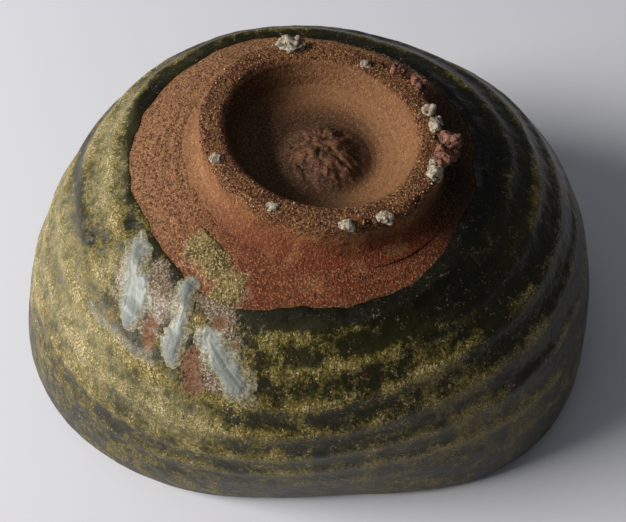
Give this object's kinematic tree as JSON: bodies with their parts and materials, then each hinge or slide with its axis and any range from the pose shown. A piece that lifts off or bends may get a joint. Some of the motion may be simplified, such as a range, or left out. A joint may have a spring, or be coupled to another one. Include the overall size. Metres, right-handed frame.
{
  "type": "matcha bowl",
  "caption": "Hand-thrown stoneware matcha bowl resting upside down on its lip, with a bare clay foot ring, olive ash glaze, pale ash runs and grit fused to the foot.",
  "frame": {"origin": "on the surface that the lip rests on, under the centre of the bowl's outline", "axes": "+Z from the lip to the foot, so the bowl stands upside down on its lip with its foot up; +X and -Y are the sides with the grit cluster and the wide view of the glaze edge. To stand the bowl on its foot, turn it half a turn about X"},
  "size_m": [0.1364, 0.1162, 0.0628],
  "materials": {
    "body_clay": "unglazed iron-red stoneware, coarse and sandy",
    "foot_clay": "unglazed browner stoneware, coarse, speckled",
    "outside_glaze": "glossy olive ash glaze, mottled dark green and ochre",
    "inside_glaze": "glossy olive ash glaze",
    "ash_run": "milky blue-white run",
    "ash_sand": "sandy dry ash crust",
    "pale_grit": "rough fused grit, grey-white",
    "dark_grit": "rough fused grit, reddish brown"
  },
  "bodies": {
    "root": {"clay_body": "body_clay", "foot_ring": "foot_clay", "outer_glaze": "outside_glaze", "inner_glaze": "inside_glaze", "ash_run_left": "ash_run", "ash_run_middle": "ash_run", "ash_run_right": "ash_run", "ash_patch": "ash_sand", "kiln_grit_back": "pale_grit", "kiln_grit_inner": "pale_grit", "kiln_grit_purple": "dark_grit", "kiln_grit_pink": "dark_grit", "kiln_grit_white_upper": "pale_grit", "kiln_grit_white_lower": "pale_grit", "kiln_grit_knob": "dark_grit", "kiln_grit_tip": "dark_grit", "kiln_grit_red": "dark_grit", "kiln_grit_grey": "pale_grit", "kiln_grit_front_right": "pale_grit", "kiln_grit_front": "pale_grit", "kiln_grit_front_left": "pale_grit", "kiln_grit_left": "pale_grit"}
  },
  "joints": []
}
